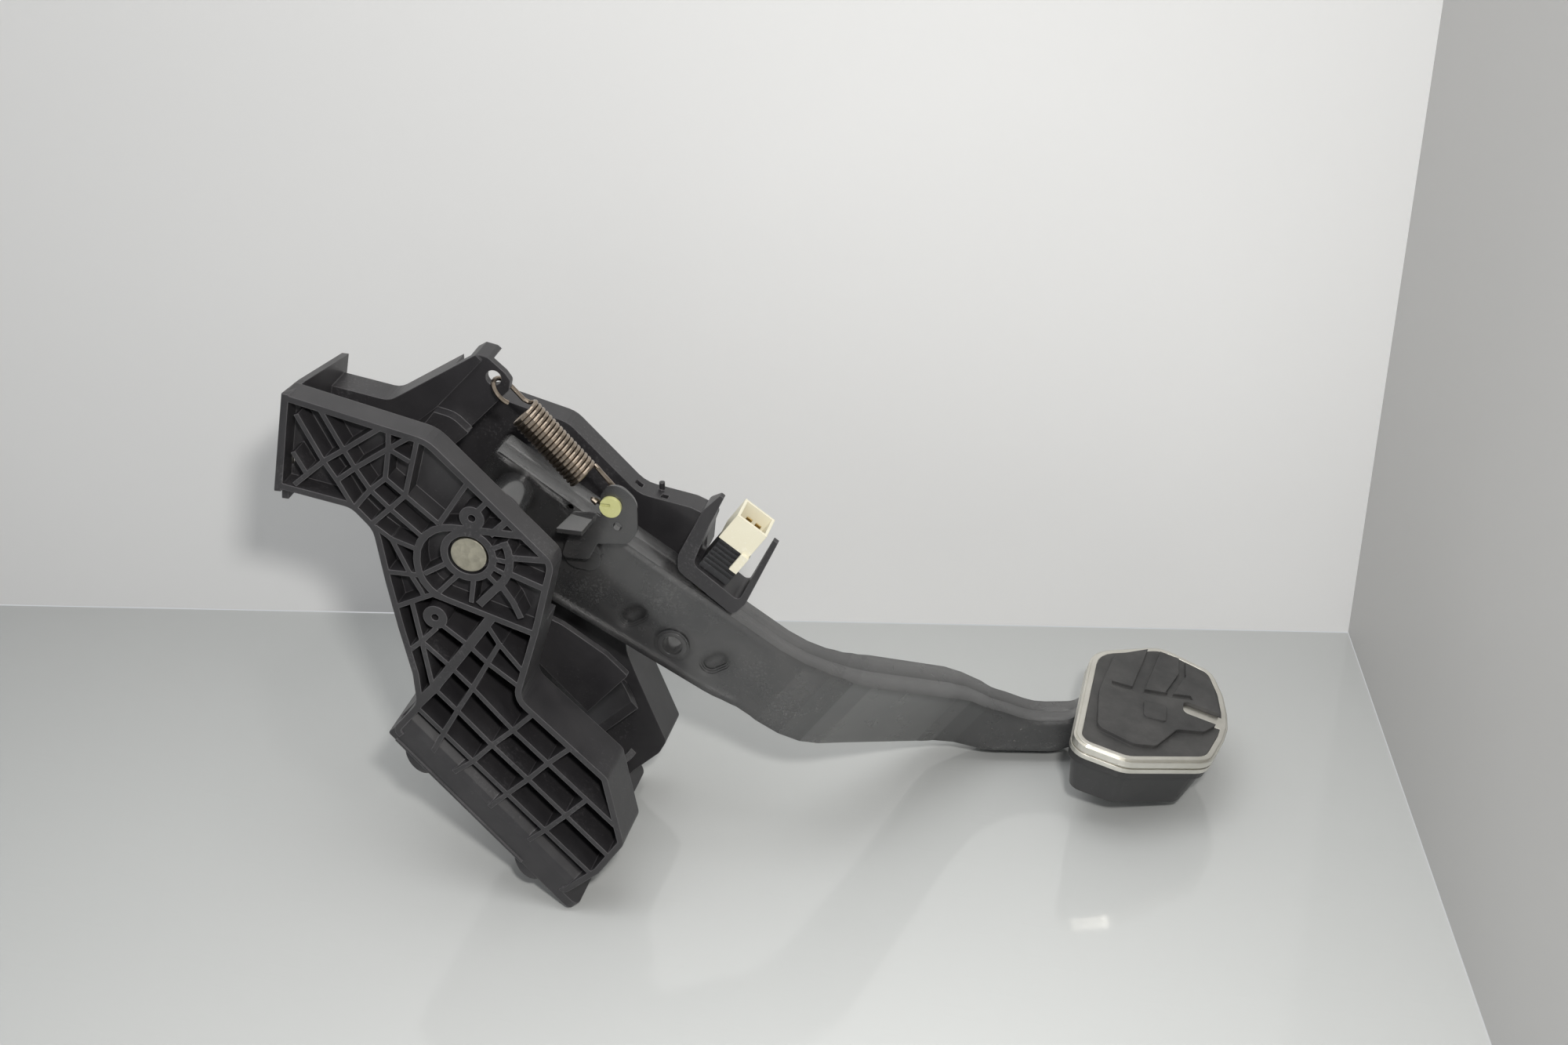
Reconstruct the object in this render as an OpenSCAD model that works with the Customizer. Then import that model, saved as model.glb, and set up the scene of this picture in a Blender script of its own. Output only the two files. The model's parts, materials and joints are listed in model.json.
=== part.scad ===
// Brake pedal assembly: a ribbed moulded bracket, a hollow two-shell bent arm on a pin,
// a pull spring, a brake light switch over the arm and a rubber faced pad.
// X runs toward the pad, Y along the pivot pin away from the viewer, Z up, in millimetres.
// It stands as photographed, on the lower edge of its base and the tail of its arm.
// The origin is the centre of the four base bosses, in the plane of their faces.
// Sub-parts are drawn about the pivot, with Y counted from the near wall's front,
// and place() moves them to the origin.

/* [Base] */
// Width of the base along the pivot
base_w = 101.4; // [95:0.1:110]
// Thickness of the base flange
flange_t = 4.1; // [3:0.1:6]
// Slope of the base below level
base_slope = 46.2; // [40:0.1:52]
// Base reach above the booster centre
base_up = 50; // [47:0.5:60]
// Base reach below the booster centre
base_down = 57; // [54:0.5:60]
// Spacing of the base bolts across the bracket
bolt_pitch = 82; // [78:0.5:84]
// Spacing of the base bolts up the slope
bolt_rows = 64; // [60:0.5:68]
// Diameter of the round bolt bosses
boss_d = 16; // [15:0.5:18]
// Height of the round bolt bosses
boss_h = 4.5; // [2:0.1:7]
// Room for the nuts behind the flange
nut_d = 15; // [14.5:0.1:16]
// Bolt hole in the steel sleeves
bolt_hole_d = 8.6; // [8:0.1:10]
// Wall of the steel sleeves
sleeve_t = 1.5; // [1:0.1:2.5]
// Opening for the booster's nose
nose_d = 58; // [50:1:62]
// Height of the collar above the base face
collar_h = 45; // [38:1:50]
// Wall of the collar
collar_t = 3; // [2:0.1:4]

/* [Walls] */
// Pivot ahead of the booster centre
pivot_x = 8.6; // [6:0.1:12]
// Pivot above the booster centre
pivot_z = 127.8; // [124:0.1:132]
// Wall rims
rim_t = 2.6; // [2:0.1:4]
// Wall ribs
rib_t = 2.0; // [1.2:0.1:3]
// Wall webs
web_t = 2.5; // [1.8:0.1:4]
// Rim depth of the near wall's upper half
upper_depth = 11; // [8:0.5:15]
// Rim depth of the near wall's lower half
lower_depth = 22; // [18:0.5:26]
// Front of the inner wall, from the near wall's front
inner_y = 45; // [44.5:0.1:46]
// Near face of the far wall's web, from the near wall's front
far_web_y = 80; // [78:0.5:84]
// Width of the upper mounting plate
plate_w = 60; // [56:0.5:66]
// Thickness of the upper mounting plate
plate_t = 2.8; // [2:0.1:4]
// Mounting holes in the upper plate
plate_hole_d = 8.6; // [7:0.1:10]
// Spacing of the upper plate's holes
plate_pitch = 32; // [28:0.5:38]

/* [Pivot] */
// Diameter of the pivot pin
pin_d = 12; // [10:0.1:14]
// Diameter of the pin's head
pin_head_d = 14.4; // [14:0.1:15.6]
// Diameter of the sleeve that carries the pin in the near wall
pin_sleeve_d = 22.6; // [21:0.1:24]
// Diameter of the hub tube
hub_d = 17; // [16.6:0.1:18]
// Wall of the hub tube
hub_t = 1.4; // [1:0.1:1.8]
// Running clearance of the pin in its bushes, on radius
pin_gap = 0.05; // [0.02:0.01:0.1]
// Side clearance of the hub between the walls
side_gap = 0.5; // [0.3:0.1:1]
// End of the near wall's hub sleeve
hub_y = 36; // [30:0.5:42]
// Length of each bearing bush
bearing_len = 14; // [10:0.5:18]

/* [Arm] */
// Near face of the arm, from the near wall's front
arm_y = 53; // [51:0.5:55]
// Width of the arm across both shells
arm_w = 15.5; // [13:0.1:17]
// Sheet thickness of the arm's shells
shell_t = 2.2; // [1.5:0.1:3]
// Drop of the far shell's tail to the table
tail_drop = 6.3; // [3:0.1:7]
// Sideways jog of the arm
arm_jog = 89; // [84:0.5:94]
// Pushrod eye ahead of the pivot
eye_x = 65; // [62:0.1:68]
// Pushrod eye below the pivot
eye_drop = 62.7; // [60:0.1:65]
// Bore of the pushrod eye
pushrod_d = 8.6; // [8:0.1:9]
// Outer diameter of the pushrod eye
pushrod_ring_d = 12.4; // [12:0.1:14]

/* [Spring] */
// Wire of the spring
wire_d = 1.9; // [1.4:0.05:2.2]
// Outer diameter of the coils
coil_d = 13.6; // [12:0.1:15]
// Turns of the coil
coil_turns = 17; // [14:1:19]
// Middle of the coil, from the near wall's front
coil_y = 44.5; // [43.5:0.1:45.5]
// Front of the lever plate, from the near wall's front
lever_y = 43.6; // [43:0.1:44]
// Depth of the lever plate's pressed face
lever_t = 2.8; // [2:0.1:3]
// Spring bush across its head
bush_d = 8.8; // [8:0.1:10]

/* [Pad] */
// Middle of the pad ahead of the pivot
pad_x = 263.9; // [258:0.1:270]
// Middle of the pad from the near wall's front
pad_y = 144; // [141:0.1:147]
// Middle of the pad below the pivot
pad_drop = 125.2; // [122:0.1:128]
// Slope of the pad below level
pad_slope = 16; // [12:0.5:20]
// Height of the trim ring
trim_h = 7; // [5:0.5:9]
// Width of the trim ring
trim_w = 3.3; // [2.5:0.1:5]
// Thickness of the pad's steel plate
pad_plate_t = 2.5; // [2:0.1:4]
// Depth of the under-housing below the trim
under_h = 22; // [16:0.5:24]

/* [Switch] */
// Side of the switch body
switch_w = 14; // [12:0.1:16]
// Diameter of the plunger
plunger_d = 5; // [4:0.1:6]
// Neck of the switch body
neck_d = 9; // [8:0.1:10]
// Lock sleeve around the neck
lock_d = 12; // [11:0.1:13]

/* [Hidden] */
$fn = 48;
base_mid_y = base_w / 2;
out_dir = [-sin(base_slope), -cos(base_slope)];
base_c = [-pivot_x, -pivot_z] - out_dir * boss_h;
coil_r = (coil_d - wire_d) / 2;
pad_mid = [pad_x, pad_y, -pad_drop];
eye = [eye_x, -eye_drop];
// The arm's straight top edge, between two corners of its outline.
top_a = [49.7, -19.7];
top_b = [110, -58.5];
top_slope = atan2(top_a[1] - top_b[1], top_b[0] - top_a[0]);
function arm_top(x) = top_a[1] - (x - top_a[0]) * tan(top_slope);

// Outline helpers: corners are [x, z, radius], rounded by formula.
function unit(v) = v / norm(v);
function flat(p) = [p[0], p[1]];
function arc_corner(a, p, b) = p[2] == 0 ? [flat(p)] :
    let (u = unit(flat(a) - flat(p)), v = unit(flat(b) - flat(p)), half = acos(u * v) / 2,
         turn = 180 - 2 * half, c = flat(p) + unit(u + v) * p[2] / sin(half),
         s = flat(p) + u * p[2] / tan(half) - c, e = flat(p) + v * p[2] / tan(half) - c,
         n = max(2, ceil(turn / 15)))
    [for (i = [0:n]) c + (s * sin((1 - i / n) * turn) + e * sin(i / n * turn)) / sin(turn)];
function rounded(pts) = let (n = len(pts))
    [for (i = [0:n - 1]) each arc_corner(pts[(i + n - 1) % n], pts[i], pts[(i + 1) % n])];
// A corner moved to the left of the path by t.
function moved_corner(a, p, b, t) =
    let (u = unit(flat(p) - flat(a)), v = unit(flat(b) - flat(p)), m = unit([-u[1] - v[1], u[0] + v[0]]),
         bend = u[0] * v[1] - u[1] * v[0], q = flat(p) + m * t / (m * [-u[1], u[0]]))
    [q[0], q[1], p[2] == 0 ? 0 : max(0.3, p[2] - t * sign(bend))];
function inset(pts, t) = let (n = len(pts))
    [for (i = [0:n - 1]) moved_corner(pts[(i + n - 1) % n], pts[i], pts[(i + 1) % n], t)];
// An open path moved to the left by t, its ends square.
function beside(pts, t) = let (n = len(pts))
    [for (i = [0:n - 1]) let (a = i == 0 ? 2 * pts[0] - pts[1] : pts[i - 1],
        b = i == n - 1 ? 2 * pts[i] - pts[i - 1] : pts[i + 1]) moved_corner(a, pts[i], b, t)];
function back(list) = [for (i = [len(list) - 1:-1:0]) list[i]];

module shape(pts) polygon(rounded(pts));
module band(pts, t0, t1) polygon(rounded(concat(beside(pts, t0), back(beside(pts, t1)))));
// A side outline drawn from Y = y0 to y1.
module side(y0, y1) translate([0, y1, 0]) rotate([90, 0, 0]) linear_extrude(y1 - y0) children();
module bars(paths, t)
    for (r = paths) for (i = [0:len(r) - 2]) let (d = r[i + 1] - r[i])
        translate(r[i]) rotate(atan2(d[1], d[0])) translate([-t / 2, -t / 2]) square([norm(d) + t, t]);
module ring_cut(p, y0, y1, d) translate([p[0], y0, p[1]]) rotate([-90, 0, 0]) cylinder(d = d, h = y1 - y0);
// Base frame: X down the slope, Y along the pivot, Z inward from the flange's outer face.
module on_base() translate([base_c[0], base_mid_y, base_c[1]]) rotate([0, base_slope, 0]) children();
module pad_frame() translate(pad_mid) rotate([0, pad_slope, 0]) children();
module place() translate([pivot_x, -base_mid_y, pivot_z]) children();

// Bracket outlines, about the pivot.
near_outline = [[-70, 60.2, 1], [-77, 19.4, 1], [-46.5, 14.6, 8], [-38.3, 6, 10], [-35, -17, 30],
    [-31.5, -36.5, 10], [-27, -58, 15], [-26.2, -72, 7], [-38.2, -86.6, 4], [31.5, -157.2, 3],
    [47.2, -143.3, 3], [58.3, -126.8, 4], [52.3, -95.2, 4], [17.2, -62.5, 7], [26.3, -32, 20],
    [34.6, 0.9, 7], [-12.8, 47.8, 14]];
far_outline = [[-30, 31, 8], [-36, 2, 12], [-33, -36, 20], [-27, -58, 15], [-26.2, -72, 7],
    [-38.2, -86.6, 4], [31.5, -157.2, 3], [38.5, -148.5, 2], [50, -137.5, 4], [53.4, -131, 3],
    [42, -102, 8], [36.5, -87, 12], [36.5, -71, 14], [41, -56, 10], [56, -40, 8], [68, -38, 4],
    [76, -17, 3], [66, -13, 8], [44, -9.5, 14], [15, 19.5, 12]];
upper_ribs = [[[-67.7, 35.1], [-63.5, 27.3]], [[-64.8, 51.4], [-55.9, 33.5], [-51.2, 25.9], [-46, 16]],
    [[-55.6, 56], [-47.2, 39.4], [-43.3, 32.2], [-37.9, 23.5], [-30.5, 16.3], [-18.9, 6.2]],
    [[-68.3, 22.4], [-55.9, 33.5], [-47.2, 39.4], [-31.4, 50.7]],
    [[-51.2, 25.9], [-43.3, 32.2], [-29.1, 42.1], [-20.3, 48]],
    [[-44.4, 15.6], [-37.9, 23.5], [-31.3, 29.3]], [[-37.6, 9.5], [-30.5, 16.3], [-23.8, 22.9]],
    [[-28.3, 51.4], [-29.1, 42.1], [-31.3, 29.3], [-23.8, 22.9], [-12, 13]],
    [[-29.1, 42.1], [-21.8, 38.2]], [[-16.9, 48.4], [-23.8, 22.9]], [[1.9, 31.9], [-10.5, 13]],
    [[-36.5, 7], [-31, 3], [-21.5, 0]], [[-31, 3], [-25, -10.5], [-20.5, -18.8], [-18.5, -24]],
    [[-34, -12], [-20.7, -11.7]], [[5.5, 20.5], [9, 24.5]]];
// Spokes of the hub, thin and thick.
spokes = [[[1.5, -10.5], [0, -20]], [[-5, -9.5], [-12.5, -17.5]], [[-9.5, -5], [-17.8, -10.2]],
    [[9.5, 4], [14.5, 6.6]], [[10.8, -0.3], [15.5, -0.8]], [[10, -4.3], [15, -6.7]],
    [[8, -8.5], [12, -12.7]]];
struts = [[[10.2, 11], [17.4, 18]], [[17.5, 1.2], [35, 2.2]], [[17.5, -6.3], [32, -11.4]],
    [[13.5, -13], [17, -18.5], [19.3, -24]]];
// Egg shaped band around the hub, open to the right rim, and the arc inside it.
hub_band = [[28, 11.6, 0], [-21.2, 11.2, 15.5], [-21.2, -18.1, 15.5], [26.5, -32.4, 0]];
hub_arc = [for (i = [0:6]) let (a = 28 - 12.5 * i) [16.6 * cos(a), 16.6 * sin(a), 0], [3, -21.5, 0]];
lower_ribs = [[[-25.6, -74.7], [42.9, -143.7]],
    [[-18.5, -63.4], [-9.2, -72.7], [4.4, -87.1], [18.9, -101.3], [51.8, -134.4]],
    [[-22, -42], [-10.7, -52.2], [-2.1, -60.9], [13.7, -78.4], [27.7, -92], [54.8, -118.3]],
    [[-12, -33.9], [-2.4, -41.1], [4.9, -48.1], [18.8, -58.2]], [[6, -31], [10.3, -38.5], [20.2, -50.9]],
    [[10.3, -38.5], [4.9, -48.1], [-2.1, -60.9], [-9.2, -72.7], [-15.7, -84.3], [-21.3, -94.6]],
    [[-14.5, -104.5], [-4.2, -96.4], [4.4, -87.1], [13.7, -78.4], [23.5, -68.3]],
    [[1.8, -117.7], [9.9, -109.8], [18.9, -101.3], [27.7, -92], [38.6, -82]],
    [[18.2, -131.4], [24.9, -125.6], [34.2, -116.5], [43, -107.5]],
    [[-24.7, -24.8], [-22, -42], [-19, -62.3]], [[-28.6, -48], [-22, -42], [-16, -35.6]]];
thick_rib = [[[6.6, -28.3], [-2.4, -41.1], [-10.4, -52.2], [-18.5, -63.4], [-26.3, -72.5]]];
boss_at = [[2.4, 16.5], [-15.6, -30]];
// Lines where the walls' ribs grow deeper.
near_split = [[-100, -61.5, 0], [-16, -19.7, 0], [26.5, -32.4, 0], [100, -54.4, 0]];
far_split = [[-100, -62.5, 0], [100, -62.5, 0]];

module zone(split, low) polygon(concat([for (p = split) flat(p)], low ? [[100, -200], [-100, -200]] :
    [[100, 100], [-100, 100]]));
module wall_lines(outline, ribs) {
    difference() { shape(outline); shape(inset(outline, rim_t)); }
    intersection() { shape(outline); union() { bars(ribs, rib_t); bars(thick_rib, 2 * rib_t); } }
}
// A profile in depth and height above the base face, drawn along the base.
module along_base(s0, s1) on_base() translate([s0, -base_mid_y, 0]) rotate([90, 0, 90])
    linear_extrude(s1 - s0) children();
// The near wall closes in front of the nuts and then curves back to its web, hollow behind.
nut_front = [[0.6, 1], [0.6, 9.5], [1.5, 12.5], [4, 15], [8.5, 17.2], [lower_depth - web_t, 20.5],
    [lower_depth, 20.5], [lower_depth, 18.3], [9.2, 15.2], [5.2, 13.4], [3, 11.3], [2.1, 9], [2.1, 1]];
nut_room = [[2.1, 1], [2.1, 9], [3, 11.3], [5.2, 13.4], [9.2, 15.2], [lower_depth + 1, 18.6],
    [lower_depth + 1, 1]];
module near_upper() {
    side(0, upper_depth) intersection() {
        zone(near_split, false);
        union() {
            wall_lines(near_outline, upper_ribs);
            intersection() {
                shape(near_outline);
                union() {
                    bars(spokes, rib_t);
                    bars(struts, rim_t);
                    band(hub_band, -1.5, 1.5);
                    band(hub_arc, -1.6, 1.6);
                }
            }
        }
    }
    side(upper_depth - web_t, upper_depth) intersection() {
        zone(near_split, false);
        shape(near_outline);
    }
    for (p = boss_at) ring_cut(p, 0, upper_depth, 10);
}
module near_lower() {
    side(0, lower_depth) intersection() {
        shape(near_outline);
        union() {
            intersection() { zone(near_split, true); wall_lines(near_outline, lower_ribs); }
            band(near_split, -rib_t / 2, rib_t / 2);
        }
    }
    side(lower_depth - web_t, lower_depth) intersection() {
        zone(near_split, true);
        shape(near_outline);
    }
}
module near_wall() {
    near_upper();
    difference() {
        near_lower();
        along_base(-60, 60) polygon(nut_room);
        along_base(-46, 46) translate([-1, 1.2]) square([1.6, 8.3]);
    }
    intersection() { side(0, lower_depth) shape(near_outline); along_base(-52, 50) polygon(nut_front); }
}
module far_wall() {
    side(far_web_y, base_w) intersection() { zone(far_split, true); wall_lines(far_outline, lower_ribs); }
    side(far_web_y, far_web_y + upper_depth) intersection() {
        zone(far_split, false);
        wall_lines(far_outline, upper_ribs);
    }
    side(far_web_y, far_web_y + web_t) shape(far_outline);
    // Locating peg on the wall's upper edge.
    translate([51.5, far_web_y + 8.5, -13.5]) cylinder(d = 2.4, h = 6);
}
module hub_rings() {
    ring_cut([0, 0], 0, upper_depth + 3, pin_sleeve_d);
    ring_cut([0, 0], 0, hub_y - side_gap, hub_d + 1.4);
    ring_cut([0, 0], far_web_y, far_web_y + upper_depth, 24);
}
// The spine closes the bracket's back and ties both walls together.
spine = [for (i = [2:8]) i > 2 && i < 8 ? near_outline[i] : concat(flat(near_outline[i]), 0)];
module spine_wall() side(upper_depth - 1, far_web_y + 1) band(spine, 0, rim_t);
module flange() {
    on_base() translate([0, -base_mid_y, 0]) linear_extrude(flange_t) shape([[-base_up, 0.6, 1],
        [base_down, 0.6, 4], [base_down, base_w, 4], [-base_up, base_w, 2]]);
    // Fine edge along the near side.
    along_base(-46, 27) square([1, 1.2]);
    at_base_bolts() {
        translate([0, 0, -boss_h]) cylinder(d = boss_d, h = boss_h + flange_t);
        cylinder(d = boss_d - 1, h = flange_t + 1.5);
    }
}
module at_base_bolts() for (s = [-1, 1], w = [-1, 1])
    on_base() translate([s * bolt_rows / 2, w * bolt_pitch / 2, 0]) children();
module collar() intersection() {
    difference() {
        on_base() cylinder(d = nose_d + 2 * collar_t, h = collar_h);
        on_base() translate([0, 0, -1]) cylinder(d = nose_d, h = collar_h + 2);
        // Slot for the arm and the pushrod.
        translate([0, arm_y - 4, -140]) cube([140, arm_w + 8, 140]);
    }
    translate([-60, 0, -200]) cube([200, far_web_y + 1, 200]);
}
// A profile in depth and height, drawn along X.
module front(x0, x1) translate([x0, 0, 0]) rotate([90, 0, 90]) linear_extrude(x1 - x0) children();
module upper_plate() intersection() {
    side(0, plate_w)
        polygon([[-70.2, 60.4], [-77.6, 19.2], [-78.4, 11], [-75.6, 11], [-75, 18.8], [-67.3, 60]]);
    front(-90, -60) polygon([[-1, 18], [7, 18], [7, 5], [plate_w + 1, 5], [plate_w + 1, 49.7], [16, 58.6],
        [-1, 60.6]]);
}
// Inner wall with the ramp, the arched shelf and the spring tab.
tab_outline = [[-71, 43, 1], [-77, 19.6, 1], [-44, 12, 4], [-30, 13, 6], [-21.5, 22.7, 3], [3.4, 49.2, 1.5],
    [4.2, 53.4, 2], [2, 56.6, 2], [-4.6, 62.3, 1], [-9.2, 63.2, 1], [-46.5, 39.2, 8]];
ramp_outline = [[-71, 43, 1], [-77, 19.6, 1], [-46, 14.5, 1], [-44, 24, 2], [-27, 38.5, 1], [-6.9, 60.9, 0.5],
    [-9.2, 63.2, 0.5], [-46.5, 39.2, 8]];
shelf_outline = [[-26.5, 38.6, 0.5], [-36, 26, 1], [-36, 14, 1], [-21.5, 22.7, 1], [-12.6, 31, 0.5],
    [-19, 37, 10]];
module spring_tab() {
    side(inner_y, inner_y + 3) shape(tab_outline);
    side(inner_y - 0.8, inner_y + 0.1) shape(ramp_outline);
    side(inner_y - 4.7, inner_y + 0.1) shape(shelf_outline);
    side(inner_y, inner_y + 12) difference() {
        shape(tab_outline);
        shape(inset(tab_outline, rim_t));
        translate([-19, 8]) square([40, 53]);
    }
    side(upper_depth - 1, inner_y + 1) band([[-77, 19.4, 0], [-46.5, 14.6, 8], [-38.3, 6, 0]], 0, rim_t);
}
// Lower part of the inner wall, beside the pushrod.
inner_outline = [[-27, -57, 1], [8, -50, 10], [20.5, -55.1, 6], [38.5, -66.8, 8], [47.8, -75.8, 1],
    [28.4, -97.9, 1], [14, -108, 4], [-24, -75, 2]];
module inner_wall() difference() {
    side(inner_y, inner_y + 3) shape(inner_outline);
    on_base() translate([0, 0, -1]) cylinder(d = nose_d, h = collar_h + 1);
}
// Switch holder: a U over the arm, tied back to the far wall, with a socket for the switch.
holder_outline = [[85.9, 9.8, 0.6], [79, 2.5, 12], [68.2, -19.5, 8], [68, -26.5, 4], [90.8, -44.5, 3],
    [95.9, -38.5, 1], [109.4, -8.1, 0.8], [107.7, -6.4, 0.8], [93.2, -37.4, 2], [74.3, -22.9, 4],
    [81.2, -4.5, 20], [87.3, 8.7, 0.6]];
// Its prongs are gussets that grow thin toward their tips.
module switch_holder() {
    intersection() {
        side(52, far_web_y + 1) shape(holder_outline);
        switch_frame() {
            translate([-40, 0, 0]) rotate([90, 0, 90]) linear_extrude(32)
                polygon([[-8.5, -12], [20.5, -12], [20.5, 14], [-6, 44], [-8.5, 44]]);
            translate([-8.1, 0, 0]) rotate([90, 0, 90]) linear_extrude(40)
                polygon([[-8.5, -12], [8.5, -12], [8.5, 10], [-6.2, 42], [-8.5, 42]]);
        }
    }
    side(68, far_web_y + 1) shape([[73.5, -9.5, 1], [68.1, -19.8, 2], [67.8, -26.5, 2], [72.5, -30.2, 1],
        [75.5, -26, 1], [76.5, -16, 2]]);
}
module bracket_housing() color("#1f2022") place() difference() {
    union() {
        near_wall();
        far_wall();
        hub_rings();
        spine_wall();
        flange();
        collar();
        upper_plate();
        spring_tab();
        inner_wall();
        switch_holder();
    }
    for (p = boss_at) ring_cut(p, -1, upper_depth - web_t, 3);
    ring_cut([0, 0], -1, base_w, pin_d);
    ring_cut([0, 0], -1, 5, pin_head_d + 2.2);
    ring_cut(hook_a, inner_y - 1, inner_y + 4, 6.3);
    switch_frame() translate([0, 0, -3]) cylinder(d = lock_d, h = 16);
    buffer_plug();
    at_base_bolts() translate([0, 0, -boss_h - 1])
        cylinder(d = bolt_hole_d + 2 * sleeve_t, h = boss_h + flange_t + 4);
    // Room for the far nuts between the far wall's ribs.
    for (s = [-1, 1]) on_base() translate([s * bolt_rows / 2, bolt_pitch / 2, flange_t + 1.5])
        cylinder(d = nut_d, h = 11);
    // Pockets in the far wall's upper edge.
    translate([41.2, far_web_y + 4, -14]) cube([3, 3, 10]);
    translate([52.6, far_web_y + 1.8, -18]) cube([3, 3, 10]);
    on_base() translate([0, 0, -1]) cylinder(d = nose_d, h = flange_t + 2);
    for (w = [-1, 1]) at_plate_hole(w) translate([0, 0, -4])
        cylinder(d = plate_hole_d + 2 * sleeve_t, h = 12);
}
module at_plate_hole(w) translate([-75.91, plate_w / 2 + w * plate_pitch / 2, 28.6])
    rotate([0, -90, 0]) rotate([0, 10.2, 0]) children();
module base_sleeves() color("#b9bcc0") place() at_base_bolts()
    translate([0, 0, -boss_h]) difference() {
        cylinder(d = bolt_hole_d + 2 * sleeve_t, h = boss_h + flange_t + 1.5);
        translate([0, 0, -1]) cylinder(d = bolt_hole_d, h = boss_h + flange_t + 4);
    }
module plate_sleeves() color("#b9bcc0") place() for (w = [-1, 1]) at_plate_hole(w)
    translate([0, 0, -plate_t - 0.5]) difference() {
        cylinder(d = plate_hole_d + 2 * sleeve_t, h = plate_t + 1);
        translate([0, 0, -1]) cylinder(d = plate_hole_d, h = plate_t + 3);
    }
module pivot_pin() color("#c9ccd0") place() difference() {
    union() {
        ring_cut([0, 0], 0.4, 5, pin_head_d);
        ring_cut([0, 0], 4, far_web_y + upper_depth + 5, pin_d);
    }
    difference() {
        ring_cut([0, 0], far_web_y + upper_depth + 1, far_web_y + upper_depth + 2.5, pin_d + 4);
        ring_cut([0, 0], far_web_y + upper_depth, far_web_y + upper_depth + 3, pin_d - 2);
    }
}
module pin_clip() color("#8d9196") place() difference() {
    ring_cut([0, 0], far_web_y + upper_depth + 1, far_web_y + upper_depth + 2.5, pin_d + 7);
    ring_cut([0, 0], far_web_y + upper_depth, far_web_y + upper_depth + 3, pin_d - 2);
    translate([-3, far_web_y + upper_depth, -30]) cube([6, 4, 30]);
}

// Arm outline seen from the side, from the upper end round the tail, and its plan path.
arm_outline = [[-6.5, 18.3, 3], [-15.5, 7, 10], [-17, -16, 14], [-7, -41, 14], [14, -49, 20],
    [81.3, -85.3, 40], [92, -88.5, 30], [131, -124, 40], [157, -148.5, 20], [184, -159.5, 20],
    [215, -159.8, 14], [pad_x - 25.9, -pad_drop - 24.3, 10], [pad_x - 1.9, -pad_drop - 18.2, 2],
    [pad_x - 1.9, -pad_drop - 10.4, 1], [pad_x - 32.9, -pad_drop - 1.5, 6], [222, -140.6, 8],
    [203, -141.3, 22], [184, -132.5, 16], [171, -119.5, 30], [135, -73, 40],
    [top_b[0], top_b[1], 50], [top_a[0], top_a[1], 60]];
far_arm_outline = [for (p = arm_outline)
    p[0] > 150 && p[0] < 230 && p[1] < -145 ? [p[0], p[1] - tail_drop, p[2]] : p];
arm_path = [[-40, arm_y, 0], [150.4, arm_y, 55], [221.6, arm_y + arm_jog, 50],
    [300, arm_y + arm_jog + 21.2, 0]];
// Plan frame of the arm: X along the arm, Y away, Z up off its top.
module arm_frame() rotate([0, 35, 0]) children();
module arm_solid(outline, t0, t1) intersection() {
    side(0, 250) shape(outline);
    arm_frame() translate([0, 0, -150]) linear_extrude(260) band(arm_path, t0, t1);
}
module arm_holes() {
    ring_cut([0, 0], 0, 120, hub_d);
    ring_cut(eye, 40, 80, pushrod_ring_d);
}
// Pressed dimples beside the eye, long the same way.
dimple_at = [[48.6, -51.2], [82.8, -68.7]];
module dimples() for (p = dimple_at, i = [0:2]) side(arm_y - 1, arm_y + 0.5 + 0.5 * i)
    translate(p) rotate(32) {
        translate([-2.4, -4.6 + 0.8 * i]) square([4.8, 9.2 - 1.6 * i]);
        for (x = [-2.4, 2.4]) translate([x, 0]) circle(d = 9.2 - 1.6 * i);
    }
module arm_shell_near() color("#2b2c2f") place() difference() {
    union() {
        arm_solid(arm_outline, 0, arm_w / 2);
        ring_cut(eye, arm_y - 0.8, arm_y + 1, pushrod_ring_d + 2);
    }
    arm_solid(inset(arm_outline, shell_t), shell_t, arm_w / 2 + 1);
    arm_holes();
    dimples();
    ring_cut([23.4, -4.2], arm_y - 1, arm_y + shell_t + 1, 3);
}
module arm_shell_far() color("#26272a") place() difference() {
    arm_solid(far_arm_outline, arm_w / 2, arm_w);
    arm_solid(inset(far_arm_outline, shell_t), arm_w / 2 - 1, arm_w - shell_t);
    arm_holes();
}
module hub_tube() color("#3a3b3e") place() difference() {
    ring_cut([0, 0], hub_y, far_web_y - side_gap, hub_d);
    ring_cut([0, 0], 0, 120, hub_d - 2 * hub_t);
}
module hub_bushes() color("#d8d4c4") place() for (y = [hub_y, far_web_y - side_gap - bearing_len])
    difference() {
        ring_cut([0, 0], y, y + bearing_len, hub_d - 2 * hub_t);
        ring_cut([0, 0], y - 1, y + bearing_len + 1, pin_d + 2 * pin_gap);
    }
module pushrod_ring() color("#4a4b4e") place() difference() {
    ring_cut(eye, arm_y - 1, arm_y + arm_w + 1, pushrod_ring_d);
    ring_cut(eye, 40, 80, pushrod_d);
}
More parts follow.
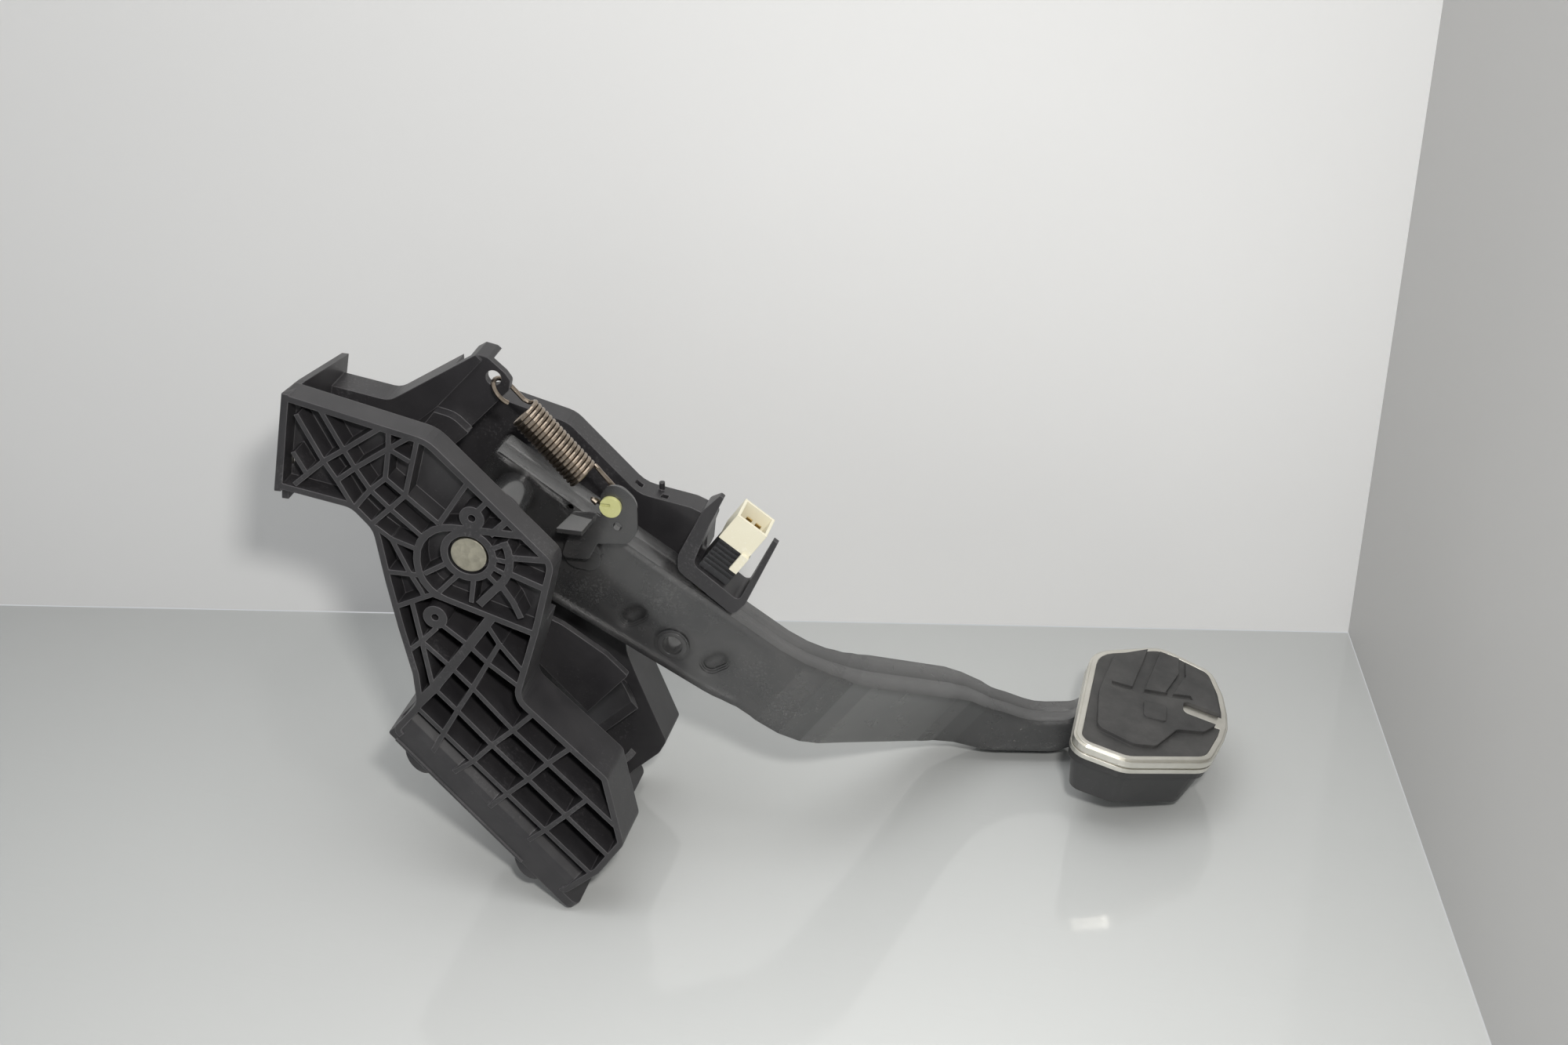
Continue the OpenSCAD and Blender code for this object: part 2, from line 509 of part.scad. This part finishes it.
// Lever plate: a pressed face with a turned edge, a foot on the arm and a bent flag.
lever_outline = [[27, -2.4, 0.5], [37, -0.8, 0.5], [40.2, -2.9, 0.5], [40.3, 8, 1], [42.6, 11.8, 1.5],
    [47.2, 13.2, 6], [53.4, 7, 6], [53.4, -6, 6], [49.6, -11.6, 4], [36.9, -13, 2], [33, -20.8, 1],
    [23, -21.2, 1], [25.2, -15, 1], [27, -10, 1]];
foot_outline = [[21, -14, 1], [21, -30, 5], [36, -32, 5], [36, -20, 3], [33, -18, 1], [24, -16, 1]];
module lever_plate() color("#2e2f31") place() difference() {
    union() {
        side(lever_y, lever_y + 1) shape(inset(lever_outline, 0.9));
        side(lever_y + 0.9, lever_y + lever_t) shape(lever_outline);
        side(lever_y + lever_t - 1, arm_y)
            shape([[23, -17.5, 0.5], [23, -21.2, 1], [33, -20.8, 1], [34.6, -17.5, 0.5]]);
        side(arm_y - 2.2, arm_y) shape(foot_outline);
        translate([0, 0, -3.6]) linear_extrude(2)
            polygon([[27.6, lever_y + lever_t], [37, lever_y + lever_t], [35.5, 31], [24.9, 31]]);
    }
    ring_cut([46, -4.8], lever_y - 1, lever_y + lever_t + 1, 3.6);
    ring_cut(hook_b, lever_y - 1, lever_y + lever_t + 1, shank_d);
}
// The bush hangs on a rivet and carries the spring's hook behind the plate.
shank_d = 6;
rivet_d = 3.5;
bush_back = lever_y + lever_t + wire_d + 1.4;
module spring_pin() color("#9a9ea3") place() {
    ring_cut(hook_b, lever_y, bush_back + 1.2, rivet_d);
    ring_cut(hook_b, bush_back + 1.2, bush_back + 2.2, rivet_d + 3);
}
module spring_bush() color("#c8c23a") place() difference() {
    union() {
        ring_cut(hook_b, lever_y - 1.6, lever_y, bush_d);
        ring_cut(hook_b, lever_y - 1, bush_back, shank_d);
        ring_cut(hook_b, bush_back, bush_back + 1.2, bush_d);
    }
    ring_cut(hook_b, lever_y, bush_back + 2, rivet_d);
    translate([hook_b[0] - bush_d, lever_y - 2.6, hook_b[1] + 0.2]) cube([bush_d, 1.9, 1.3]);
}

// Pad outlines about the middle of the trim, X down the slope and Y away.
pad_outline = [[-38.4, -44.5, 8], [-13, -44.3, 14], [22.5, -22, 13], [29.2, 8, 50], [24.5, 32, 24],
    [18, 48.3, 9], [-8, 53, 15], [-38.4, 29, 20]];
module pad_plate() color("#55585c") place() pad_frame() translate([0, 0, -trim_h - pad_plate_t])
    linear_extrude(pad_plate_t) shape(inset(pad_outline, trim_w + 0.6));
// Two bright bands with a groove between them, and a tongue in from the right.
module pad_trim() color("#b7a98f") place() pad_frame() difference() {
    union() {
        for (b = [[-trim_h, -4.8, 0], [-4.9, -3.9, 1], [-4, -1, 0], [-1.1, 0, 1]])
            translate([0, 0, b[0]]) linear_extrude(b[1] - b[0]) shape(inset(pad_outline, b[2]));
    }
    difference() {
        translate([0, 0, -trim_h - 1]) linear_extrude(trim_h + 2) shape(inset(pad_outline, trim_w));
        translate([0, 0, -1.6]) linear_extrude(3.4) shape(tongue);
    }
}
tongue = [[6.2, 13.2, 2.5], [6.6, 4.5, 2.5], [34, 4.5, 0], [34, 13.2, 0]];
face_outline = [[-28.5, 29, 5], [-32, -3, 30], [-29.5, -30, 4], [-12.5, -33, 5], [-3, -28.5, 4],
    [5, -10.5, 3], [17, -4.5, 3], [21.5, 3, 2], [23, 14, 2], [18, 36, 10], [2.5, 45.5, 8], [-12, 45.5, 8]];
module pad_rubber() color("#18191a") place() pad_frame() difference() {
    union() {
        translate([0, 0, -trim_h]) linear_extrude(trim_h) shape(inset(pad_outline, trim_w + 0.1));
        linear_extrude(1.8) shape(face_outline);
        translate([-11, 0, 1]) linear_extrude(1.4)
            shape([[-0.8, 1, 2], [9.8, 3.2, 2], [10.4, -8.8, 2], [0.4, -11, 2]]);
    }
    translate([0, 0, 0.4]) linear_extrude(4) {
        bars([[[-10.5, 48], [-15, 9]]], 5.5);
        bars([[[2.4, 48], [3.6, 33], [-0.6, 16]],
            [[-25.5, 6.5], [-16, 8], [-11, 9.5], [0, 13.5], [8, 17]]], 3.2);
    }
    translate([0, 0, -1.7]) linear_extrude(6) shape(inset(tongue, -0.2));
}
module pad_housing() color("#141516") place() difference() {
    pad_frame() difference() {
        union() {
            translate([0, 0, -trim_h - 4]) linear_extrude(4) shape(inset(pad_outline, 1));
            translate([0, 0, -trim_h - 4]) mirror([0, 0, 1]) linear_extrude(under_h - 4, scale = 0.86)
                shape(inset(pad_outline, 2.2));
        }
        translate([0, 0, -trim_h - pad_plate_t]) linear_extrude(10) shape(inset(pad_outline, trim_w + 0.6));
        translate([0, 0, -trim_h - 3.9]) linear_extrude(10) shape(inset(pad_outline, 5));
        translate([0, 0, -trim_h - 3.8]) mirror([0, 0, 1]) linear_extrude(under_h - 6.2, scale = 0.86)
            shape(inset(pad_outline, 5));
    }
    // Clearance around the arm's end.
    translate([190, arm_y + arm_jog + 7, -pad_drop - 55]) cube([pad_x - 188, arm_w + 17, 60]);
}

// Spring: one swept wire with a hook through the tab and one around the bush, behind the plate.
hook_a = [-2.7, 53.9];
hook_b = [43.7, 4.1];
span = norm(hook_b - hook_a);
down_spring = (hook_b - hook_a) / span;
coil_pitch = wire_d + 0.12;
coil_len = (coil_turns + 0.25) * coil_pitch;
coil_start = (span - coil_len) / 2 + 1;
hook_r = 4.6;
hook_y = lever_y + lever_t + wire_d / 2 + 0.25 - coil_y;
top_reach = coil_start - 0.8 - coil_r;
low_mid = span + shank_d / 2 + wire_d / 2 + 0.25 - hook_r - coil_start;
// A point of the bracket, given in the spring's own frame.
function spot(x, y, z) = let (d = [x, z] - hook_a)
    [y - coil_y, d * [-down_spring[1], down_spring[0]], d * down_spring - coil_start];
loop_top = [for (a = [-40:15:180]) [-coil_r * cos(a), 0, -top_reach - coil_r * sin(a)]];
loop_low = [for (a = [0:15:180]) [hook_y, hook_r * cos(a), low_mid + hook_r * sin(a)]];
wire_path = concat(loop_top, [[coil_r, 0, -3], [coil_r, 0.9, -0.9]],
    [for (a = [25:15:coil_turns * 360 + 65]) [coil_r * cos(a), coil_r * sin(a), coil_pitch * a / 360]],
    [[hook_y * 0.95, coil_r - 0.8, coil_len + 1.1], [hook_y, hook_r + 0.2, coil_len + 3.4]], loop_low,
    [spot(38, hook_y + coil_y, 2.6), spot(36.3, 46.6, 4.3), spot(35.7, 44.8, 5.6), spot(36.4, 43.2, 5.9),
        spot(38, 42.6, 5.1)]);
function run_dir(p, i) = unit(p[min(i + 1, len(p) - 1)] - p[max(i - 1, 0)]);
function square_to(v, t) = unit(v - t * (v * t));
function frames(p) = [for (i = 0, v = square_to([0, 1, 0], run_dir(p, 0)); i < len(p);
    i = i + 1, v = i < len(p) ? square_to(v, run_dir(p, i)) : v) v];
module wire(p, d, sides) {
    n = len(p);
    f = frames(p);
    pts = [for (i = [0:n - 1]) let (t = run_dir(p, i), b = cross(t, f[i]))
        for (k = [0:sides - 1]) p[i] + (f[i] * cos(360 * k / sides) + b * sin(360 * k / sides)) * d / 2];
    polyhedron(pts, concat([[for (k = [0:sides - 1]) k]], [[for (k = [sides - 1:-1:0]) (n - 1) * sides + k]],
        [for (i = [0:n - 2], k = [0:sides - 1]) let (a = i * sides + k, b = i * sides + (k + 1) % sides)
            [a, a + sides, b + sides, b]]));
}
module return_spring() color("#8e9298") place() translate([hook_a[0], coil_y, hook_a[1]])
    rotate([0, atan2(down_spring[0], down_spring[1]), 0]) rotate([0, 0, 90])
        translate([0, 0, coil_start]) wire(wire_path, wire_d, 8);

// Switch frame: Z along the switch's axis away from the arm, X along the arm, Y away.
module switch_frame() translate([75.8, 60.5, arm_top(75.8)]) rotate([0, 35, 0]) children();
module switch_body() color("#202123") place() switch_frame() difference() {
    union() {
        translate([-7, -6.5, 10.5]) cube([switch_w, 13, 16.5]);
        translate([0, 0, 1.5]) cylinder(d = neck_d, h = 9.5);
    }
    translate([0, 0, -1]) cylinder(d = plunger_d + 0.4, h = 13);
    for (z = [13.6:2.2:26]) translate([-8, -7.5, z]) cube([switch_w + 4, 1.8, 1.1]);
}
module switch_connector() color("#e9e9e6") place() switch_frame() difference() {
    union() {
        translate([-8, -7, 27]) cube([switch_w + 0.5, 14, 13.5]);
        translate([3.2, -8.5, 18.7]) cube([3.6, 1.9, 9]);
    }
    translate([-6.8, -5.8, 29]) cube([switch_w - 1.9, 11.6, 12]);
}
module switch_lock() color("#303134") place() switch_frame() difference() {
    translate([0, 0, 3]) cylinder(d = lock_d, h = 5);
    translate([0, 0, 2]) cylinder(d = neck_d, h = 7);
}
module switch_terminals() color("#c9b26a") place() switch_frame()
    for (x = [-3.5, 0.9], y = [-2.5, 1.9]) translate([x, y, 29]) cube([2.6, 0.6, 8]);
module switch_plunger() color("#d9d6cf") place() switch_frame()
    translate([0, 0, 0.1]) cylinder(d = plunger_d, h = 8);
// Buffer between the arm's top and the underside of the switch holder.
module buffer_plug() translate([84.8, 60.5, arm_top(84.8)]) rotate([0, top_slope, 0])
    translate([0, 0, 0.1]) cylinder(d = 6, h = 5);
module rest_buffer() color("#0f1011") place() buffer_plug();

bracket_housing();
base_sleeves();
plate_sleeves();
pivot_pin();
pin_clip();
rest_buffer();
switch_body();
switch_connector();
switch_lock();
switch_terminals();
switch_plunger();
arm_shell_near();
arm_shell_far();
hub_tube();
hub_bushes();
pushrod_ring();
lever_plate();
spring_pin();
spring_bush();
pad_plate();
pad_housing();
pad_trim();
pad_rubber();
return_spring();
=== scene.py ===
import json
import math

import bpy
from mathutils import Matrix, Vector


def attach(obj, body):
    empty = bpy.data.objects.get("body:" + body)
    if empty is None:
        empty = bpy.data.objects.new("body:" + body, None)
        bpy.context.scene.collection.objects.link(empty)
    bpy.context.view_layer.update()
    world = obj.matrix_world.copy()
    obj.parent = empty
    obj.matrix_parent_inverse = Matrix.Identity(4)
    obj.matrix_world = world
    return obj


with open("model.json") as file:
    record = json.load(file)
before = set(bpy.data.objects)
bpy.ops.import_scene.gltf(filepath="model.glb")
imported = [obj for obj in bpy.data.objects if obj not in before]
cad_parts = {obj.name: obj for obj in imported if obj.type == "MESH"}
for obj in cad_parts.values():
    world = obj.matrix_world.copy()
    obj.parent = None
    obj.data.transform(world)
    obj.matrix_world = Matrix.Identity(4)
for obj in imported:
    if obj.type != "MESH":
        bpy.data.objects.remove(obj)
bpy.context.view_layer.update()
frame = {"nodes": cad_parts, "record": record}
scene = bpy.context.scene
scene.view_settings.view_transform = "Standard"

# Lengths are in metres, powers in watts and angles in degrees, in the row frame.

# Camera, placed by the photograph's perspective.
CAMERA_AT = (0.2949, -0.7554, 0.5631)
CAMERA_YAW, CAMERA_PITCH, CAMERA_ROLL = 13.0, 29.2, 0.46
FOCAL_PX, PHOTO_WIDTH_PX = 2900, 2000
SENSOR_MM = 36

# Stage: a glossy table under two upright boards that meet in a corner.
TABLE_Z = -0.0383
TABLE_DROP = 0.0006
CORNER = Vector((0.3528, 0.2519, TABLE_Z))
BACK_BOARD_LEFT = Vector((-0.3133, 0.1145, TABLE_Z))
SIDE_BOARD_FRONT = Vector((0.4124, -0.0445, TABLE_Z))
BOARD_LENGTH, BOARD_HEIGHT = 3, 1.6

# Lamps, all aimed near the bracket.
FLASH_AT = Vector((0.36, -0.72, 0.68))
FLASH_SIZE = (0.06, 0.05)
FLASH_TARGET = Vector((0.1, 0.0, 0.05))
FLASH_POWER = 5.6
CEILING_AT = Vector((0.1, -0.2, 1.5))
CEILING_SIZE = (1.2, 0.8)
CEILING_TARGET = Vector((0.1, 0.0, 0.0))
CEILING_POWER = 9
WORLD_COLOR, WORLD_STRENGTH = (0.95, 0.97, 1.0), 0.6

# How far sharp edges are rounded in shading.
CRISP_EDGE = 0.0002
FINE_EDGE = 0.0003
MOULDED_EDGE = 0.0006
ARM_EDGE = 0.006


def add_camera():
    yaw, pitch, roll = (math.radians(a) for a in (CAMERA_YAW, CAMERA_PITCH, CAMERA_ROLL))
    ahead = Vector((-math.sin(yaw) * math.cos(pitch), math.cos(yaw) * math.cos(pitch), -math.sin(pitch)))
    right = Vector((math.cos(yaw), math.sin(yaw), 0))
    up = right.cross(ahead)
    right, up = (right * math.cos(roll) + up * math.sin(roll), up * math.cos(roll) - right * math.sin(roll))
    data = bpy.data.cameras.new("camera")
    data.sensor_width = SENSOR_MM
    data.lens = FOCAL_PX / PHOTO_WIDTH_PX * SENSOR_MM
    data.clip_start = 0.01
    cam = bpy.data.objects.new("camera", data)
    turn = Matrix((right, up, -ahead)).transposed().to_4x4()
    cam.matrix_world = Matrix.Translation(CAMERA_AT) @ turn
    scene.collection.objects.link(cam)
    scene.camera = cam


class Mat:
    """A principled material with short helpers for its nodes. Textures are in object space, per metre."""

    def __init__(self, name, color, rough, metal=0.0, spec=0.5, coat=0.0, coat_rough=0.1):
        self.material = bpy.data.materials.new(name)
        self.material.use_nodes = True
        self.tree = self.material.node_tree
        self.shader = self.tree.nodes["Principled BSDF"]
        self.shader.inputs["Base Color"].default_value = (*color, 1)
        self.shader.inputs["Roughness"].default_value = rough
        self.shader.inputs["Metallic"].default_value = metal
        self.shader.inputs["Specular IOR Level"].default_value = spec
        self.shader.inputs["Coat Weight"].default_value = coat
        self.shader.inputs["Coat Roughness"].default_value = coat_rough
        self.coord = self.node("TexCoord").outputs["Object"]

    def put(self, socket, value):
        """Links a node's output to the socket, or sets a plain value. A colour is given as three numbers."""
        if isinstance(value, bpy.types.NodeSocket):
            self.tree.links.new(value, socket)
        elif isinstance(value, tuple) and socket.type == "RGBA":
            socket.default_value = (*value, 1)
        else:
            socket.default_value = value

    def node(self, kind, **inputs):
        n = self.tree.nodes.new("ShaderNode" + kind)
        for name, value in inputs.items():
            self.put(n.inputs[name.replace("_", " ")], value)
        return n

    def noise(self, scale, detail, rough, stretch=(1, 1, 1), turn=(0, 0, 0), warp=0.0):
        space = self.node("Mapping", Vector=self.coord, Scale=stretch, Rotation=turn).outputs["Vector"]
        return self.node("TexNoise", Vector=space, Scale=scale, Detail=detail, Roughness=rough,
                         Distortion=warp).outputs["Fac"]

    def speckle(self, scale):
        return self.node("TexVoronoi", Vector=self.coord, Scale=scale).outputs["Distance"]

    def ramp(self, fac, *stops):
        """Grey levels over the factor, as (place, level)."""
        n = self.node("ValToRGB", Fac=fac)
        elements = n.color_ramp.elements
        while len(elements) < len(stops):
            elements.new(0.5)
        for element, (place, level) in zip(elements, stops):
            element.position = place
            element.color = (level, level, level, 1)
        return n.outputs["Color"]

    def mix(self, fac, a, b, mode="MIX"):
        n = self.node("Mix")
        n.data_type = "RGBA"
        n.blend_type = mode
        fac_socket, a_socket, b_socket = n.inputs[0], n.inputs[6], n.inputs[7]
        self.put(fac_socket, fac)
        self.put(a_socket, a)
        self.put(b_socket, b)
        return n.outputs[2]

    def math(self, operation, a, b):
        n = self.node("Math")
        n.operation = operation
        self.put(n.inputs[0], a)
        self.put(n.inputs[1], b)
        return n.outputs["Value"]

    def vector_math(self, operation, a, b):
        n = self.node("VectorMath")
        n.operation = operation
        self.put(n.inputs[0], a)
        self.put(n.inputs[1], b)
        return n.outputs["Value"]

    def bevel(self, radius, samples):
        n = self.node("Bevel", Radius=radius)
        n.samples = samples
        return n.outputs["Normal"]

    def color(self, socket):
        self.put(self.shader.inputs["Base Color"], socket)

    def rough(self, fac, low, high):
        n = self.node("MapRange", Value=fac, To_Min=low, To_Max=high)
        self.put(self.shader.inputs["Roughness"], n.outputs["Result"])

    def edges(self, radius, low, high):
        """1 along the piece's sharp edges, fading to 0 on its flats."""
        flat = self.node("NewGeometry").outputs["Normal"]
        along = self.vector_math("DOT_PRODUCT", self.bevel(radius, 6), flat)
        return self.ramp(self.math("SUBTRACT", 1.0, along), (low, 0.0), (high, 1.0))

    def bump(self, *layers, edge=0.0):
        """Bump layers as (height socket, depth), over normals softened at the edges."""
        normal = self.bevel(edge, 4) if edge else None
        for height, depth in layers:
            n = self.node("Bump", Height=height, Distance=depth, Strength=1.0)
            if normal:
                self.put(n.inputs["Normal"], normal)
            normal = n.outputs["Normal"]
        self.put(self.shader.inputs["Normal"], normal)

    def one_sided(self):
        """Shows only the front of each face."""
        back = self.node("NewGeometry").outputs["Backfacing"]
        n = self.node("MixShader", Fac=back)
        self.put(n.inputs[1], self.shader.outputs["BSDF"])
        self.put(n.inputs[2], self.node("BsdfTransparent").outputs["BSDF"])
        self.put(self.tree.nodes["Material Output"].inputs["Surface"], n.outputs["Shader"])


def paler(color, gain, lift):
    return tuple(min(1, gain * c + lift) for c in color)


def moulded(name, base, pale, rough=(0.42, 0.6), edge=MOULDED_EDGE, grain=0.00003, worn=0.0):
    """Glass filled moulded plastic: fine grain, cloudy flow marks, pale dust and rubbed edges."""
    m = Mat(name, base, rough[0])
    cloud = m.noise(38, 5, 0.6, warp=0.8)
    streak = m.noise(60, 3, 0.5, stretch=(1, 1, 0.25), turn=(0.3, 0.5, 0.2))
    dust = m.math("MULTIPLY", m.noise(900, 2, 0.7), m.noise(25, 3, 0.6))
    tone = m.mix(m.ramp(cloud, (0.35, 0.0), (0.75, 0.6)), base, pale)
    tone = m.mix(m.ramp(streak, (0.5, 0.0), (0.8, 0.5)), tone, pale)
    tone = m.mix(m.ramp(dust, (0.34, 0.0), (0.46, 0.4)), tone, paler(pale, 2.2, 0.02))
    if worn:
        patches = m.ramp(m.noise(70, 4, 0.6), (0.3, 0.35), (0.65, worn))
        rubbed = m.math("MULTIPLY", m.edges(0.0007, 0.03, 0.22), patches)
        tone = m.mix(rubbed, tone, paler(pale, 2.6, 0.03))
    m.color(tone)
    m.rough(cloud, *rough)
    m.bump((m.noise(2600, 2, 0.6), grain), (m.noise(140, 3, 0.5), 0.00006), edge=edge)
    return m.material


def steel(name, base, rough=(0.25, 0.42), pits=0.0, edge=FINE_EDGE, scale=500):
    """Bare or plated steel, or brass: patches of tone and gloss, a fine grain and, where asked, pits."""
    m = Mat(name, base, rough[0], metal=1.0)
    patch = m.noise(170, 4, 0.6)
    m.color(m.mix(m.ramp(patch, (0.35, 0.0), (0.7, 1.0)), base, paler(base, 0.72, 0)))
    m.rough(patch, *rough)
    m.bump((m.noise(scale, 3, 0.6), 0.00002), (m.speckle(scale * 1.3), pits), edge=edge)
    return m.material


def arm_paint(name, edge):
    """Black dip coat over pressed steel: glossy, slightly wavy, with small chips and dust."""
    m = Mat(name, (0.02, 0.02, 0.021), 0.3, coat=1.0, coat_rough=0.13)
    wave = m.noise(55, 3, 0.5)
    dust = m.math("MULTIPLY", m.noise(1100, 2, 0.7), m.noise(30, 3, 0.6))
    chips = m.math("MULTIPLY", m.noise(420, 4, 0.8), m.noise(18, 2, 0.5))
    tone = m.mix(m.ramp(wave, (0.35, 0.0), (0.7, 1.0)), (0.026, 0.026, 0.027), (0.042, 0.041, 0.041))
    tone = m.mix(m.ramp(dust, (0.33, 0.0), (0.45, 0.35)), tone, (0.12, 0.12, 0.12))
    m.color(m.mix(m.ramp(chips, (0.43, 0.0), (0.47, 0.7)), tone, (0.2, 0.19, 0.18)))
    m.rough(m.noise(90, 4, 0.6), 0.2, 0.32)
    m.bump((m.noise(1500, 2, 0.6), 0.000012), (wave, 0.0002), edge=edge)
    return m.material


def rubber(name):
    """Matt rubber, rubbed paler in patches."""
    m = Mat(name, (0.03, 0.03, 0.031), 0.6, spec=0.35)
    wear = m.noise(60, 5, 0.65)
    m.color(m.mix(m.ramp(wear, (0.3, 0.0), (0.75, 1.0)), (0.034, 0.034, 0.034), (0.08, 0.078, 0.076)))
    m.rough(wear, 0.45, 0.68)
    m.bump((m.noise(1800, 3, 0.7), 0.00005), (m.noise(300, 2, 0.5), 0.00005), edge=MOULDED_EDGE)
    return m.material


def trim(name):
    """Warm bright sheet metal, finely brushed."""
    m = Mat(name, (0.66, 0.63, 0.56), 0.3, metal=1.0)
    grain = m.noise(700, 2, 0.5, stretch=(1, 0.05, 1))
    patch = m.ramp(m.noise(80, 3, 0.6), (0.35, 0.0), (0.7, 1.0))
    m.color(m.mix(patch, (0.78, 0.76, 0.7), (0.68, 0.66, 0.6)))
    m.rough(grain, 0.28, 0.42)
    m.bump((grain, 0.00002), edge=MOULDED_EDGE)
    return m.material


def dress():
    """Gives each node its slot's material, or one of its own."""
    slots = {
        "bracket_black": moulded("bracket_black", (0.022, 0.021, 0.023), (0.044, 0.042, 0.044),
                                 rough=(0.28, 0.5), worn=1.0),
        "under_black": moulded("under_black", (0.022, 0.022, 0.023), (0.042, 0.041, 0.042),
                               rough=(0.3, 0.45)),
        "switch_black": moulded("switch_black", (0.018, 0.018, 0.02), (0.035, 0.035, 0.037), edge=CRISP_EDGE),
        "bearing_plastic": moulded("bearing_plastic", (0.66, 0.62, 0.5), (0.74, 0.71, 0.6), edge=CRISP_EDGE),
        "connector_white": moulded("connector_white", (0.76, 0.72, 0.56), (0.82, 0.79, 0.66),
                                   edge=FINE_EDGE, grain=0.00001),
        "bush_yellow": moulded("bush_yellow", (0.5, 0.5, 0.2), (0.6, 0.6, 0.33),
                               rough=(0.25, 0.4), edge=FINE_EDGE),
        "steel": steel("steel", (0.62, 0.6, 0.56), pits=0.0001),
        "zinc": steel("zinc", (0.4, 0.4, 0.4), rough=(0.35, 0.5)),
        "contact_brass": steel("contact_brass", (0.75, 0.56, 0.24)),
        "spring_steel": steel("spring_steel", (0.36, 0.3, 0.24), rough=(0.22, 0.38), edge=0.0),
        "arm_paint": arm_paint("arm_paint", ARM_EDGE),
        "rubber_black": rubber("rubber_black"),
        "trim_metal": trim("trim_metal"),
    }
    small_pressings = arm_paint("arm_paint_small", MOULDED_EDGE)
    own = {
        "lever_plate": small_pressings,
        "pushrod_ring": small_pressings,
        "hub_tube": small_pressings,
        "pivot_pin": steel("pin_steel", (0.5, 0.47, 0.38), rough=(0.34, 0.5), pits=0.0004,
                           edge=MOULDED_EDGE, scale=240),
    }
    for entry in frame["record"]["subparts"]:
        obj = frame["nodes"][entry["node"]]
        obj.data.materials.clear()
        obj.data.materials.append(own.get(entry["node"], slots[entry["material_slot"]]))


def stage_mat(name, a, b, rough, spec, scale, marks=0.0, painted_light_pool=None):
    """Board between two tones. Given a pool as (x, y, z, radius, dim), it paints a pool of light: painted
    shade darkens the tone away from the centre, to dim times at the radius.
    """
    m = Mat(name, a, rough, spec=spec)
    tone = m.mix(m.ramp(m.noise(scale, 3, 0.5), (0.3, 0.0), (0.7, 1.0)), a, b)
    # Painted pool of light: the board's colour is painted darker away from the centre.
    if painted_light_pool:
        *centre, radius, dim = painted_light_pool
        away = m.math("DIVIDE", m.vector_math("DISTANCE", m.coord, centre), 2 * radius)
        painted_shade = m.ramp(away, (0.08, 1.0), (0.3, 0.5 + dim / 2), (0.5, dim))
        tone = m.mix(1.0, tone, painted_shade, "MULTIPLY")
    m.color(tone)
    if marks:
        scratch = m.noise(45, 2, 0.3, stretch=(1, 9, 1), turn=(0, 0, 0.7))
        m.bump((m.ramp(scratch, (0.68, 0.0), (0.7, 1.0)), marks))
    m.one_sided()
    return m.material


def board(name, corners, mat):
    """A flat board, its front on the side from which the corners run anticlockwise."""
    mesh = bpy.data.meshes.new(name)
    mesh.from_pydata(corners, [], [range(len(corners))])
    obj = bpy.data.objects.new(name, mesh)
    obj.data.materials.append(mat)
    scene.collection.objects.link(obj)
    # The pedal lies on the table, so at a pose the stage keeps to the pedal and doesn't hide it.
    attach(obj, "pedal")


def add_stage():
    far_left = CORNER + (BACK_BOARD_LEFT - CORNER).normalized() * BOARD_LENGTH
    toward = (SIDE_BOARD_FRONT - CORNER).normalized() * BOARD_LENGTH
    near_left, near_right = far_left + toward, CORNER + toward
    up = Vector((0, 0, BOARD_HEIGHT))
    drop = Vector((0, 0, -TABLE_DROP))
    # The table's tone carries a painted pool of light, painted darker away from the given centre.
    board("table", [CORNER + drop, far_left + drop, near_left + drop, near_right + drop],
          stage_mat("table_top", (0.59, 0.605, 0.595), (0.61, 0.62, 0.61), 0.09, 0.5, 3, 0.00001,
                    painted_light_pool=(0.2, -0.2, TABLE_Z, 0.6, 0.6)))
    # The back board's tone carries a painted pool of light, painted darker away from the given centre.
    board("back_board", [CORNER, CORNER + up, far_left + up, far_left],
          stage_mat("back_paint", (0.78, 0.78, 0.775), (0.81, 0.81, 0.805), 0.45, 0.3, 2,
                    painted_light_pool=(0.16, 0.21, 0.12, 0.75, 0.7)))
    board("side_board", [CORNER, near_right, near_right + up, CORNER + up],
          stage_mat("side_paint", (0.51, 0.505, 0.495), (0.54, 0.535, 0.525), 0.5, 0.3, 2))


def area_light(name, at, target, size, power, color=(1, 1, 1)):
    data = bpy.data.lights.new(name, "AREA")
    data.shape = "RECTANGLE"
    data.size, data.size_y = size
    data.energy = power
    data.color = color
    obj = bpy.data.objects.new(name, data)
    obj.location = at
    obj.rotation_euler = (target - at).to_track_quat("-Z", "Y").to_euler()
    scene.collection.objects.link(obj)


def add_lights():
    world = bpy.data.worlds.new("world")
    world.use_nodes = True
    background = world.node_tree.nodes["Background"]
    background.inputs["Color"].default_value = (*WORLD_COLOR, 1)
    background.inputs["Strength"].default_value = WORLD_STRENGTH
    scene.world = world
    area_light("flash", FLASH_AT, FLASH_TARGET, FLASH_SIZE, FLASH_POWER, (1, 0.98, 0.95))
    area_light("ceiling", CEILING_AT, CEILING_TARGET, CEILING_SIZE, CEILING_POWER)


dress()
add_camera()
add_stage()
add_lights()
